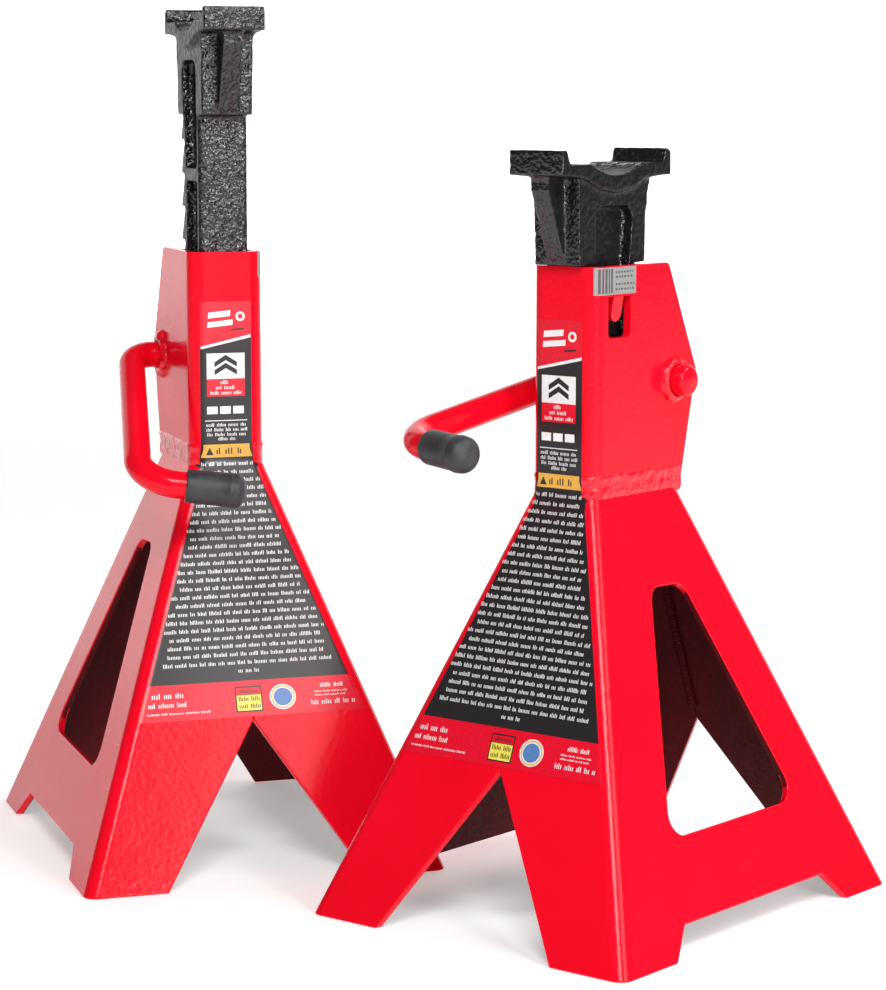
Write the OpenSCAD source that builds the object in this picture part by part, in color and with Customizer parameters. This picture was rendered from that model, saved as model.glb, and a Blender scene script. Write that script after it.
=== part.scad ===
// Pair of ratchet axle jack stands: a bent and welded sheet base, a folded tower,
// a cast ratchet bar with a cradle saddle, and a bent rod handle that works a pawl.
// Each stand is drawn in its own axes: the label side faces -Y, +X is to its right,
// the tower's middle is x = 0, y = 0, and the floor is z = 0.

/* [Pair] */
// Height of the left stand's ratchet bar above its lowest place, in teeth
left_teeth_raised = 4; // [0:1:13]
// Turn of the left stand about the vertical, degrees
left_turn = 18.3; // [10:0.1:25]
// Turn of the right stand about the vertical, degrees
right_turn = -39.2; // [-45:0.1:-30]
// How far the left handle's arm hangs below level, degrees
left_arm_drop = 27; // [5:1:40]
// How far the right handle's arm hangs below level, degrees
right_arm_drop = 12; // [5:1:40]

/* [Base] */
// Width of the base on the floor
base_w = 174; // [150:1:200]
// Distance from the tower's middle to the base's front edge on the floor
base_front = 99; // [85:1:120]
// Distance from the tower's middle to the base's rear edge on the floor
base_rear = 111; // [90:1:125]
// Height of the base, where the tower starts
base_h = 189; // [170:1:205]
// Sheet thickness of the base
base_t = 3.5; // [3:0.5:5]
// Outer radius of the base's corner bends
bend_r = 7; // [6:0.5:10]
// Height of the pointed arch in the front and rear panels
arch_h = 73; // [50:1:90]
// Half width of that arch on the floor
arch_half_w = 48; // [35:1:55]
// Height of the shallow notch under each side panel
notch_h = 13.5; // [8:0.5:20]

/* [Tower] */
// Width of the tower
tower_w = 36; // [34:1:42]
// Depth of the tower's side at its top edge
tower_top_d = 56; // [50:1:64]
// Sheet thickness of the tower
tower_t = 4; // [3:0.5:4]
// Height of the tower's top edge
tower_h = 290; // [280:1:300]
// Distance from the tower's middle to its rear edge where it meets the base
tower_foot_rear = 37; // [32:1:42]
// Distance from the tower's middle to the rear edge's widest point
tower_bulge_rear = 49; // [46:1:54]
// Height of the weld that joins the tower to the base
tower_weld_h = 9; // [6:0.5:10]

/* [Ratchet bar] */
// Width of the ratchet bar
bar_w = 24.5; // [23.5:0.5:26]
// Pitch of the ratchet teeth
tooth_pitch = 16; // [15:0.5:16]
// Number of ratchet teeth
tooth_count = 16; // [14:1:16]
// Depth of the ratchet teeth
tooth_d = 6; // [4:0.5:6]
// Length of the saddle, ear to ear
saddle_len = 81; // [76:1:84]
// Width of the saddle
saddle_w = 30; // [28:1:32]

/* [Handle] */
// Diameter of the handle rod
rod_d = 12.7; // [12:0.1:13]
// Length of the handle's arm, between the axes of its two bends
arm_len = 111; // [100:1:115]
// Length of the handle's grip end, from the bend's corner to the rubber tip
grip_end_len = 50; // [46:1:54]
// Diameter of the rubber grip at its open end
grip_d = 15.6; // [15:0.1:17]

/* [Hidden] */
$fn = 64;
eps = 0.02;            // overlap that joins two pieces of one solid
far = 400;             // larger than the whole stand
mid_gap = 0.4;         // clearance between sliding pieces
bore_gap = 0.07;       // radial clearance of the shaft in its holes

// Base: panel slopes, measured from the vertical
tower_front = tower_top_d / 2;
side_run = (base_w - tower_w) / 2;
front_run = base_front - tower_front;
rear_run = base_rear - tower_foot_rear;
side_tilt = atan(side_run / base_h);
front_tilt = atan(front_run / base_h);
rear_tilt = atan(rear_run / base_h);

// Side window: centres of its four round corners, as [y, height, radius]
window_corners = [[-29.5, 55.5, 8.5], [45.5, 56, 9], [13, 140, 8.5], [1, 140.5, 8.5]];
// Notch below each side panel: [y at the floor, y at its top], front and rear
notch_front = [-59.5, -47.5];
notch_rear = [76, 62];

// Tower
tower_inner = tower_w / 2 - tower_t;
tower_bend_r = 7;
tower_corner_r = 3;
pivot_y = 32;
pivot_z = 237;
slot_front = -18.6;
slot_rear = -1.8;
slot_low = 258.6;
slot_high = 276.8;
tongue_front = -13.6;
tongue_rear = -6.4;
tongue_low = 265.2;
tongue_bend = 10;      // degrees that the stop tongue leans inward
guide_t = 3.5;
upper_guide_low = 274;
lower_guide_low = 192;
lower_guide_high = 214;
boss_r = 10.2;
boss_len = 4.5;

// Ratchet bar, measured from the shoulder that rests on the tower
tooth_tip_y = 12;
tooth_root_y = tooth_tip_y - tooth_d;
tooth_land = 2;
first_tooth = -12;
bar_front_y = -tower_front + tower_t + mid_gap;
bar_corner = 1.4;
bar_low = first_tooth - tooth_pitch * tooth_count + 6;
neck_w = 25.2;
neck_top_w = 25.8;
neck_front_y = -32.4;
neck_rear_y = 17;
neck_h = 38;
saddle_mid_y = -7.3;
saddle_flat_z = 44.7;
ear_top_z = 50.8;
ear_low_z = 39.4;
ear_t = 4.2;
dip_half = 18.5;
dip_sag = 5;
gusset_w = 10;
pocket_d = 5;
pocket_front = -18.5;
pocket_rear = 1.5;
web_low = -31.6;
web_high = -24.6;
pocket_low = -236;
web_relief = 1.8;

// Handle: the rod is bent in one plane, which turns about the shaft
rod_r = rod_d / 2;
shaft_left = 33.4;     // from the stand's middle to the corner of the first bend
shaft_right = 26;
arm_splay = 9.8;       // degrees that the arm leans outward
grip_turn = 14.5;      // degrees that the grip end leans forward
first_bend_r = 11.8;
second_bend_r = 20;
bend_swell = 0.06;      // the rod is this much thicker around its bends
bend_lap = 0.8;        // how far a straight length runs into a bend
grip_len = 28;
collar_r = 7.4;
collar_start = tower_w / 2 + boss_len + 0.3;
collar_end = 27;
pawl_w = 22;
pawl_hub_r = 10;
pawl_tip = [-22.7, 24.6];   // from the shaft's axis to the tip's top corner, when engaged
pawl_nose_h = 4;
engaged_drop = 42;     // arm drop at which the pawl is fully engaged

// Labels
label_t = 0.3;
label_half_w = 12.7;
label_high = 266.5;
label_low = 74.5;
label_low_half = 55.5;
sticker_len = 24;
sticker_h = 12.4;
sticker_t = 0.2;

// Places of the two stands, so that the pair's box is centred on the origin
left_place = [-100.18, 59.34];
right_place = [80.96, -61.26];

function stand_nodes(side) = [for (n = ["base_left_shell", "base_right_shell", "front_seam_weld",
    "rear_seam_weld", "tower", "tower_weld", "upper_guide", "lower_guide", "guide_welds",
    "left_boss", "right_boss", "ratchet_bar", "handle_rod", "handle_grip", "pawl", "pawl_weld",
    "shaft_collar", "front_label", "side_sticker"]) str(side, "_", n)];

// Carry a stand to its place in the pair
module on_left() { translate([left_place[0], left_place[1], 0]) rotate([0, 0, left_turn]) children(); }
module on_right() { translate([right_place[0], right_place[1], 0]) rotate([0, 0, right_turn]) children(); }

// ---- Base ----

// Stands a flat panel up: its outline runs along the leaning face, and its foot is dist from the middle
module panel(dist, tilt, thick) {
    translate([0, -dist, 0]) rotate([-tilt, 0, 0]) rotate([90, 0, 0]) translate([0, 0, -thick])
        linear_extrude(thick) children();
}

// Turns [sideways, height] points into points along a leaning face
function up(points, tilt) = [for (p = points) [p[0], p[1] / cos(tilt)]];

// Sideways distance from a panel's sharp corner to the line where its bend begins
function unit(v) = v / norm(v);
function bend_angle(tilt_a, tilt_b) = 90 - asin(sin(tilt_a) * sin(tilt_b));
function setback(tilt, other_tilt, run) =
    bend_r * tan(bend_angle(tilt, other_tilt) / 2) / cos(atan(run / (base_h / cos(tilt))));

function front_half(z) = base_w / 2 - side_run * z / base_h;
function fore_edge(z) = base_front - front_run * z / base_h;
function rear_edge(z) = base_rear - rear_run * z / base_h;

// Half of the front or rear panel, from the middle seam to the start of its bend
module half_gable(dist, tilt) {
    cut = setback(tilt, side_tilt, side_run) - eps;
    panel(dist, tilt, base_t) polygon(up([[0, arch_h], [0, base_h + 9], [front_half(base_h + 9) - cut, base_h + 9],
        [front_half(-9) - cut, -9], [arch_half_w * (1 + 9 / arch_h), -9]], tilt));
}

// Side panel with its rounded window and the notch between its feet; +X side
module side_panel() {
    cut_f = setback(side_tilt, front_tilt, front_run) - eps;
    cut_r = setback(side_tilt, rear_tilt, rear_run) - eps;
    rotate([0, 0, 90]) panel(base_w / 2, side_tilt, base_t) difference() {
        polygon(up([[-fore_edge(-9) + cut_f, -9], [rear_edge(-9) - cut_r, -9],
            [rear_edge(base_h + 9) - cut_r, base_h + 9], [-fore_edge(base_h + 9) + cut_f, base_h + 9]], side_tilt));
        hull() for (c = window_corners) translate([c[0], c[1] / cos(side_tilt)]) circle(c[2], $fn = 40);
        polygon(up([[2 * notch_front[0] - notch_front[1], -notch_h], [notch_front[1], notch_h],
            [notch_rear[1], notch_h], [2 * notch_rear[0] - notch_rear[1], -notch_h]], side_tilt));
    }
}

// Round bend between the side panel and a gable. The gable faces -Y; mirrored for the rear.
module corner_bend(dist, tilt) {
    n_gable = [0, -cos(tilt), sin(tilt)];
    n_side = [cos(side_tilt), 0, sin(side_tilt)];
    along = unit(cross(n_gable, n_side));
    axis = along[2] < 0 ? -along : along;
    turn = bend_angle(tilt, side_tilt);
    lean = acos(axis[2]);
    heading = atan2(axis[1], axis[0]);
    // direction of the gable's normal around the bend's axis
    flat_x = [cos(lean) * cos(heading), cos(lean) * sin(heading), -sin(lean)];
    flat_y = [-sin(heading), cos(heading), 0];
    start = atan2(n_gable * flat_y, n_gable * flat_x);
    inset = bend_r / (1 + n_gable * n_side);
    foot = [base_w / 2, -dist, 0] - inset * (n_gable + n_side);
    translate(foot) rotate([0, lean, heading]) rotate([0, 0, start]) translate([0, 0, -60])
        rotate_extrude(angle = turn) translate([bend_r - base_t, 0]) square([base_t, far]);
}

// One bent shell: side panel, two bends and half of each gable; +X side
module base_shell() {
    color("crimson") intersection() {
        translate([0, -far / 2, 0]) cube([far, far, base_h]);
        union() {
            side_panel();
            half_gable(base_front, front_tilt);
            mirror([0, 1, 0]) half_gable(base_rear, rear_tilt);
            corner_bend(base_front, front_tilt);
            mirror([0, 1, 0]) corner_bend(base_rear, rear_tilt);
        }
    }
}

// Bead on the inside of the middle seam of a gable
module seam_weld(dist, tilt) {
    slope = 1 / cos(tilt);
    color("firebrick") translate([0, -dist, 0]) rotate([-tilt, 0, 0]) translate([0, base_t, (arch_h + 4) * slope])
        intersection() {
            cylinder(r = 2.4, h = (base_h - arch_h - 10) * slope);
            translate([-3, 0, -1]) cube([6, 3, far]);
        }
}

// ---- Tower ----

// Plan of the folded channel: front wall, two round bends and two sides
module channel_plan(r, half_w, front, rear) {
    translate([-half_w + r, -front]) square([2 * (half_w - r), far / 4]);
    translate([-half_w, -front + r]) square([2 * half_w, rear + front - r]);
    for (s = [-1, 1]) translate([s * (half_w - r), -front + r]) circle(r);
}

// Side outline of the tower, in [y, z]; its rear edge bulges at the pivot
module tower_outline() {
    c = [tower_front - tower_corner_r, tower_h - tower_corner_r];
    polygon(concat([[-far, base_h], [tower_foot_rear, base_h], [tower_bulge_rear, pivot_z + 4]],
        [for (a = [20:10:90]) c + tower_corner_r * [cos(a), sin(a)]], [[-far, tower_h]]));
}

// Extrudes a [y, z] outline sideways from x = -half to x = half
module sideways(half) { rotate([90, 0, 90]) translate([0, 0, -half]) linear_extrude(2 * half) children(); }

// Slot around the stop tongue, in [y, z], with its lower corners eased
module slot_outline() {
    polygon([[slot_front, slot_high], [slot_front, slot_low + 2], [slot_front + 0.6, slot_low + 0.6],
        [slot_front + 2, slot_low], [slot_rear - 2, slot_low], [slot_rear - 0.6, slot_low + 0.6],
        [slot_rear, slot_low + 2], [slot_rear, slot_high]]);
}

// Stop tongue, in [y, height below its root], with a round tip
module tongue_outline() {
    r = (tongue_rear - tongue_front) / 2;
    low = tongue_low - slot_high - 1;
    polygon(concat([[tongue_front, 0]], [for (a = [180:15:360]) [tongue_front + r + r * cos(a), low + r + r * sin(a)]],
        [[tongue_rear, 0]]));
}

// Folded tower with pivot holes and the bent-in stop tongue in its right side
module tower() {
    color("crimson") union() {
        difference() {
            intersection() {
                translate([0, 0, base_h]) linear_extrude(tower_h - base_h) difference() {
                    channel_plan(tower_bend_r, tower_w / 2, tower_front, 60);
                    channel_plan(tower_bend_r - tower_t, tower_inner, tower_front - tower_t, 70);
                }
                sideways(tower_w) tower_outline();
            }
            translate([0, pivot_y, pivot_z]) rotate([0, 90, 0])
                cylinder(r = rod_r + bore_gap, h = 3 * tower_w, center = true);
            translate([tower_inner - 1, 0, 0]) rotate([90, 0, 90]) linear_extrude(tower_t + 2) slot_outline();
            translate([tower_inner - 1, (tongue_front + tongue_rear) / 2, slot_high + 1.5]) rotate([0, 90, 0])
                linear_extrude(tower_t + 2) polygon([[0, 0], [-3.6, -2], [-3.6, 2]]);
        }
        translate([tower_w / 2, 0, slot_high + 1]) rotate([0, tongue_bend, 0])
            translate([-tower_t, 0, 0]) rotate([90, 0, 90]) linear_extrude(tower_t - 0.4) tongue_outline();
    }
}

// Weld bead around the tower's foot, left out behind the label at the front
module tower_weld() {
    proud = 1.3;
    color("firebrick") difference() {
        translate([0, 0, base_h]) linear_extrude(tower_weld_h) difference() {
            channel_plan(tower_bend_r + proud, tower_w / 2 + proud, tower_front + proud, tower_foot_rear);
            channel_plan(tower_bend_r, tower_w / 2, tower_front, 70);
        }
        translate([-label_half_w - 0.5, -far, 0]) cube([2 * label_half_w + 1, far, far]);
    }
}

// Flat plate between the tower's sides, behind the teeth
module guide_plate(low, high) {
    color("crimson") translate([-tower_inner, tooth_tip_y + mid_gap, low])
        cube([2 * tower_inner, guide_t, high - low]);
}

// Fillet welds that hold the two guide plates
module guide_welds() {
    leg = 3;
    color("firebrick") for (s = [0, 1]) mirror([s, 0, 0])
        for (span = [[upper_guide_low + 1, tower_h - 1.5], [lower_guide_low + 1, lower_guide_high - 1]])
            translate([-tower_inner, tooth_tip_y + mid_gap + guide_t, span[0]])
                linear_extrude(span[1] - span[0]) polygon([[0, 0], [leg, 0], [0, leg]]);
}

// Bearing ring welded outside one side of the tower; +X side
module boss() {
    color("firebrick") translate([tower_w / 2, pivot_y, pivot_z]) rotate([0, 90, 0]) rotate_extrude()
        polygon([[rod_r + bore_gap, 0], [boss_r, 0], [boss_r, boss_len - 1.2], [boss_r - 1.2, boss_len],
            [rod_r + bore_gap, boss_len]]);
}

// ---- Ratchet bar ----

// Toothed side of the bar, in [y, height above the shoulder]
module bar_outline() {
    teeth = [for (k = [0:tooth_count - 1]) let (z = first_tooth - k * tooth_pitch)
        each [[tooth_tip_y, z + tooth_land], [tooth_tip_y, z], [tooth_root_y, z]]];
    polygon(concat([[bar_front_y, eps], [tooth_root_y + 2, eps]], teeth,
        [[tooth_root_y, bar_low + 2], [tooth_root_y - 2, bar_low], [bar_front_y + 2, bar_low], [bar_front_y, bar_low + 2]]));
}

// Plan of the bar, whose front corners clear the tower's inner bends
module bar_plan() {
    half = bar_w / 2;
    polygon([[-half, far / 4], [-half, bar_front_y + bar_corner], [-half + bar_corner, bar_front_y],
        [half - bar_corner, bar_front_y], [half, bar_front_y + bar_corner], [half, far / 4]]);
}

// Cradle plate, in [y, height]: an ear at each end, two lands and a round dip between them
module cradle_outline() {
    front = saddle_mid_y - saddle_len / 2;
    rear = saddle_mid_y + saddle_len / 2;
    dip_r = (dip_half * dip_half + dip_sag * dip_sag) / (2 * dip_sag);
    reach = asin(dip_half / dip_r);
    polygon(concat([[front, ear_top_z], [front, ear_low_z], [-33, ear_low_z - 1.2], [-28, 36.8], [-20, 33],
        [saddle_mid_y, 31.4], [6, 33.4], [13, 37], [20, ear_low_z - 1.6], [rear, ear_low_z - 1],
        [rear, ear_top_z - 1.6], [rear - 2.6, ear_top_z], [rear - ear_t, ear_top_z],
        [rear - ear_t - 1.8, saddle_flat_z + 0.6], [rear - ear_t - 2.8, saddle_flat_z]],
        [for (i = [8:-1:-8]) [saddle_mid_y + dip_r * sin(reach * i / 8),
            saddle_flat_z - dip_sag + dip_r * (1 - cos(reach * i / 8))]],
        [[front + ear_t + 2.8, saddle_flat_z], [front + ear_t + 1.8, saddle_flat_z + 0.6],
            [front + ear_t, ear_top_z]]));
}

// Neck between the shoulder and the cradle, wider towards the top
module neck() {
    intersection() {
        sideways(far / 8) polygon([[neck_front_y, 0], [neck_rear_y, 0], [neck_rear_y + 1, neck_h],
            [neck_front_y - 1, neck_h]]);
        translate([0, far / 2, 0]) rotate([90, 0, 0]) linear_extrude(far) polygon([[-neck_w / 2, 0], [neck_w / 2, 0],
            [neck_top_w / 2, neck_h], [-neck_top_w / 2, neck_h]]);
    }
}

// Central ribs under the front and rear ears
module gussets() {
    sideways(gusset_w / 2) polygon([[-29, 3], [neck_front_y - 1.2, 3], [-45, 33], [-45, ear_low_z + 0.4], [-29, ear_low_z]]);
    sideways(gusset_w / 2) polygon([[14, 3], [20.5, 3], [26.3, 20], [31, 36], [31, ear_low_z], [14, ear_low_z]]);
}

// Pockets in the bar's right side: an arched one, a web, and a long one that the stop tongue runs in
module side_pockets(relief) {
    half = bar_w / 2;
    translate([half - pocket_d, 0, 0]) rotate([90, 0, 90]) linear_extrude(far / 10) difference() {
        hull() {
            translate([-14.5, 20]) circle(5.5, $fn = 32);
            translate([1, 20]) circle(5.5, $fn = 32);
            translate([pocket_front, web_high]) square([pocket_rear - pocket_front, 1]);
        }
    }
    translate([half - pocket_d, pocket_front, pocket_low])
        cube([far / 10, pocket_rear - pocket_front, web_low - pocket_low]);
    if (relief > 0) translate([half - relief, pocket_front, web_low - 1])
        cube([far / 10, pocket_rear - pocket_front, web_high - web_low + 2]);
}

// One casting: toothed bar, neck, ribs and cradle
module ratchet_bar() {
    color("#2a2a2e") difference() {
        union() {
            intersection() {
                sideways(bar_w / 2) bar_outline();
                translate([0, 0, -far]) linear_extrude(2 * far) bar_plan();
            }
            neck();
            gussets();
            sideways(saddle_w / 2) cradle_outline();
        }
        side_pockets(web_relief);
        mirror([1, 0, 0]) side_pockets(0);
    }
}

// Lifts the bar onto the tower, and then by a number of teeth
module raised(teeth) { translate([0, 0, tower_h + 0.1 + teeth * tooth_pitch]) children(); }

// ---- Handle ----

// Carries a shape drawn in the handle's flat plane, arm towards -Y, to an arm drop
module at_drop(drop) { translate([0, pivot_y, pivot_z]) rotate([drop, 0, 0]) children(); }

arm_dir = [-sin(arm_splay), -cos(arm_splay), 0];
grip_dir = [cos(grip_turn), -sin(grip_turn), 0];
first_corner = [-shaft_left, 0, 0];
second_corner = first_corner + arm_len * arm_dir;
grip_tip = second_corner + grip_end_len * grip_dir;
first_trim = first_bend_r * tan((90 - arm_splay) / 2);
second_trim = second_bend_r * tan((90 + arm_splay - grip_turn) / 2);

// Straight rod between two points of the handle's plane, run on by a lap at its ends
module rod_between(a, b, lap_a, lap_b) {
    d = b - a;
    translate(a - lap_a * unit(d)) rotate([0, 0, atan2(d[1], d[0])]) rotate([0, 90, 0])
        cylinder(r = rod_r, h = norm(d) + lap_a + lap_b);
}

// Round bend that turns left (counter-clockwise) from heading by angle, starting at point a
module rod_bend(a, heading, angle, r) {
    translate(a) rotate([0, 0, heading]) translate([0, r, 0]) rotate([0, 0, -90])
        rotate_extrude(angle = angle) translate([r, 0]) circle(rod_r + bend_swell);
}

// Bent rod: shaft, arm and grip end
module handle_rod() {
    shaft_turn = 90 - arm_splay;
    arm_turn = 90 + arm_splay - grip_turn;
    arm_heading = atan2(arm_dir[1], arm_dir[0]);
    arm_a = first_corner + first_trim * arm_dir;
    arm_b = second_corner - second_trim * arm_dir;
    grip_a = second_corner + second_trim * grip_dir;
    color("crimson") union() {
        rod_between([shaft_right, 0, 0], first_corner + [first_trim, 0, 0], 0, bend_lap);
        rod_bend(first_corner + [first_trim, 0, 0], 180, shaft_turn, first_bend_r);
        rod_between(arm_a, arm_b, bend_lap, bend_lap);
        rod_bend(arm_b, arm_heading, arm_turn, second_bend_r);
        rod_between(grip_a, grip_tip - 5 * grip_dir, bend_lap, 0);
    }
}

// Rubber cap on the grip end, with a domed tip
module handle_grip() {
    open_end = grip_tip - grip_len * grip_dir;
    r = grip_d / 2;
    dome_r = r + 0.3;
    color("dimgray") translate(open_end) rotate([0, 0, atan2(grip_dir[1], grip_dir[0])]) rotate([0, 90, 0])
        difference() {
            rotate_extrude() polygon(concat([[0, 0], [r - 0.4, 0], [r, 0.5], [dome_r, grip_len - dome_r * 0.62]],
                [for (a = [10:10:90]) [dome_r * cos(a), grip_len + dome_r * 0.62 * (sin(a) - 1)]]));
            translate([0, 0, -1]) cylinder(r = rod_r, h = grip_len - 4);
        }
}

// Nose of the pawl, in [y, z] from the shaft's axis, as it stands when engaged
module pawl_nose() {
    low_corner = pawl_tip - [0, pawl_nose_h];
    back = [pawl_tip[0] + 7, pawl_tip[1]];
    polygon([low_corner, pawl_tip, back, [5, 8], [-7.6, -5]]);
}

// Pawl on the shaft, turned up from its engaged angle as the arm is lifted
module pawl(drop) {
    color("#5a5a60") translate([0, pivot_y, pivot_z]) rotate([drop - engaged_drop, 0, 0])
        difference() {
            union() {
                sideways(pawl_w / 2) pawl_nose();
                rotate([0, 90, 0]) cylinder(r = pawl_hub_r, h = pawl_w, center = true);
            }
            rotate([0, 90, 0]) cylinder(r = rod_r, h = far, center = true);
        }
}

// Bead that fixes the pawl to the shaft at one end
module pawl_weld() {
    color("dimgray") translate([pawl_w / 2, pivot_y, pivot_z]) rotate([0, 90, 0]) rotate_extrude()
        polygon([[rod_r, 0], [rod_r + 2.2, 0], [rod_r, 2.2]]);
}

// Collar pressed on the shaft's right end
module shaft_collar() {
    color("firebrick") translate([0, pivot_y, pivot_z]) rotate([0, 90, 0]) rotate_extrude()
        polygon([[rod_r, collar_start], [collar_r, collar_start], [collar_r, collar_end - 0.8],
            [collar_r - 0.8, collar_end], [rod_r, collar_end]]);
}

// ---- Labels ----

// Front decal: a strip on the tower that widens down the front of the base
module front_label() {
    slope = 1 / cos(front_tilt);
    color("#1c1a1e") {
        translate([-label_half_w, -tower_front - label_t, base_h])
            cube([2 * label_half_w, label_t, label_high - base_h]);
        translate([0, -base_front, 0]) rotate([-front_tilt, 0, 0]) rotate([90, 0, 0]) linear_extrude(label_t)
            polygon([[-label_low_half, label_low * slope], [label_low_half, label_low * slope],
                [label_half_w, base_h * slope - 0.2], [-label_half_w, base_h * slope - 0.2]]);
    }
}

// Foil sticker at the top of the tower's right side
module side_sticker() {
    color("silver") translate([tower_w / 2, -tower_front + tower_bend_r, tower_h - sticker_h])
        cube([sticker_t, sticker_len, sticker_h]);
}

// ---- Nodes ----

module stand(side, teeth, drop) {
    module part(name) { children(); }
    part("base_right_shell") base_shell();
    part("base_left_shell") mirror([1, 0, 0]) base_shell();
    part("front_seam_weld") seam_weld(base_front, front_tilt);
    part("rear_seam_weld") mirror([0, 1, 0]) seam_weld(base_rear, rear_tilt);
    part("tower") tower();
    part("tower_weld") tower_weld();
    part("upper_guide") guide_plate(upper_guide_low, tower_h - 0.4);
    part("lower_guide") guide_plate(lower_guide_low, lower_guide_high);
    part("guide_welds") guide_welds();
    part("right_boss") boss();
    part("left_boss") mirror([1, 0, 0]) boss();
    part("ratchet_bar") raised(teeth) ratchet_bar();
    part("handle_rod") at_drop(drop) handle_rod();
    part("handle_grip") at_drop(drop) handle_grip();
    part("pawl") pawl(drop);
    part("pawl_weld") pawl_weld();
    part("shaft_collar") shaft_collar();
    part("front_label") front_label();
    part("side_sticker") side_sticker();
}

on_left() stand("left", left_teeth_raised, left_arm_drop);
on_right() stand("right", 0, right_arm_drop);
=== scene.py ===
import math
import random

import bmesh
import bpy
from mathutils import Matrix, Vector, noise


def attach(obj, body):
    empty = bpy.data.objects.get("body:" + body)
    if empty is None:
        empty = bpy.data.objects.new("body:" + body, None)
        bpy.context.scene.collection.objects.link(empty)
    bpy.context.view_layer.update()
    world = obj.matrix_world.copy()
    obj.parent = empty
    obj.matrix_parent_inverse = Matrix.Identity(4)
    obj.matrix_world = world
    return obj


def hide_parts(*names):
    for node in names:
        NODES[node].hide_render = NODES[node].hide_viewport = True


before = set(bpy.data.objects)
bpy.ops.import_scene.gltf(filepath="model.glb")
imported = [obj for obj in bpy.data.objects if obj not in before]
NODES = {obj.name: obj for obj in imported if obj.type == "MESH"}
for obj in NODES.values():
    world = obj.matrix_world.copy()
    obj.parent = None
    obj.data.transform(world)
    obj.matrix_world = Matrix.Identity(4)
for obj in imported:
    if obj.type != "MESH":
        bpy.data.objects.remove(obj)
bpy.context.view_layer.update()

MM = 0.001

# Where each stand is, as in the CAD model, in millimetres and degrees: its place on the floor, its turn about
# +Z and its arm's drop below level. label_shift is how far its label sits off the tower's middle.
STANDS = {
    "left": {"place": (-100.18, 59.34), "turn": 18.3, "drop": 27.0, "label_shift": -0.9},
    "right": {"place": (80.96, -61.26), "turn": -39.2, "drop": 12.0, "label_shift": -1.5},
}

# Sizes in a stand's own axes, in millimetres, as in the CAD model. Front and rear are distances from the
# stand's middle, at the floor for the base and at its foot for the tower.
BASE_H, BASE_W, BASE_FRONT, BASE_REAR = 189.0, 174.0, 99.0, 111.0
TOWER_W, TOWER_FRONT, TOWER_REAR = 36.0, 28.0, 37.0
BEND_R = 7.0
PIVOT = Vector((0, 32, 237))
ROD_R = 6.35


def stand_matrix(side):
    """Stand axes to the row frame, both in metres."""
    s = STANDS[side]
    place = Vector((s["place"][0], s["place"][1], 0)) * MM
    return Matrix.Translation(place) @ Matrix.Rotation(math.radians(s["turn"]), 4, "Z")


def handle_matrix(side):
    """Handle's flat plane, in millimetres, to stand axes, in millimetres."""
    return Matrix.Translation(PIVOT) @ Matrix.Rotation(math.radians(STANDS[side]["drop"]), 4, "X")


def in_metres(matrix):
    """A move written in millimetres, for a mesh that is drawn in metres."""
    return Matrix.Scale(MM, 4) @ matrix @ Matrix.Scale(1 / MM, 4)


def circle(steps):
    """Angles once round a circle."""
    return [2 * math.pi * k / steps for k in range(steps)]


# ---------------------------------------------------------------- node materials

def shader(name, **values):
    """A new material with one Principled shader; values are constants on its own sockets."""
    mat = bpy.data.materials.new(name)
    mat.use_nodes = True
    tree = mat.node_tree
    skin = tree.nodes["Principled BSDF"]
    for key, value in values.items():
        skin.inputs[key.replace("_", " ")].default_value = value
    place = tree.nodes.new("ShaderNodeTexCoord").outputs["Object"]
    return mat, tree, skin, place


def node(tree, kind, inputs, **props):
    """A node with its properties set, and its inputs linked or set to a constant."""
    new = tree.nodes.new("ShaderNode" + kind)
    for key, value in props.items():
        setattr(new, key, value)
    for key, value in inputs.items():
        if isinstance(value, bpy.types.NodeSocket):
            tree.links.new(value, new.inputs[key])
        else:
            new.inputs[key].default_value = value
    return new


def noise_node(tree, place, scale, detail, rough=0.5, distortion=0.0):
    return node(tree, "TexNoise", {"Vector": place, "Scale": scale, "Detail": detail, "Roughness": rough,
                                   "Distortion": distortion})


def ramp(tree, pattern, low, high):
    """A blend between two (position, colour) stops, along a noise pattern."""
    new = node(tree, "ValToRGB", {"Fac": pattern.outputs["Fac"]})
    for element, (position, colour) in zip(new.color_ramp.elements, (low, high)):
        element.position = position
        element.color = (*colour, 1)
    return new


def stretched(tree, place, scale):
    return node(tree, "Mapping", {"Vector": place, "Scale": scale}).outputs["Vector"]


def blend(tree, mask, colour, other):
    """A colour chain, with another plain colour where the mask is white."""
    return node(tree, "MixRGB", {"Fac": mask.outputs["Color"], "Color1": colour.outputs["Color"],
                                 "Color2": (*other, 1)})


def total(tree, first, second):
    return node(tree, "Math", {0: first, 1: second}, operation="ADD").outputs["Value"]


def bump_node(tree, height, strength, distance):
    """A bump whose distance is in metres."""
    return node(tree, "Bump", {"Height": height, "Strength": strength, "Distance": distance})


def join(tree, skin, colour=None, rough=None, bump=None, coated=False):
    """Links the colour, roughness and bump chains to the shader; coated gives the coat the bump too."""
    ends = [(colour, "Color", "Base Color"), (rough, "Color", "Roughness"), (bump, "Normal", "Normal")]
    if coated:
        ends.append((bump, "Normal", "Coat Normal"))
    for chain, output, socket in ends:
        if chain:
            tree.links.new(chain.outputs[output], skin.inputs[socket])


def grey(v):
    return (v, v, v)


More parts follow.
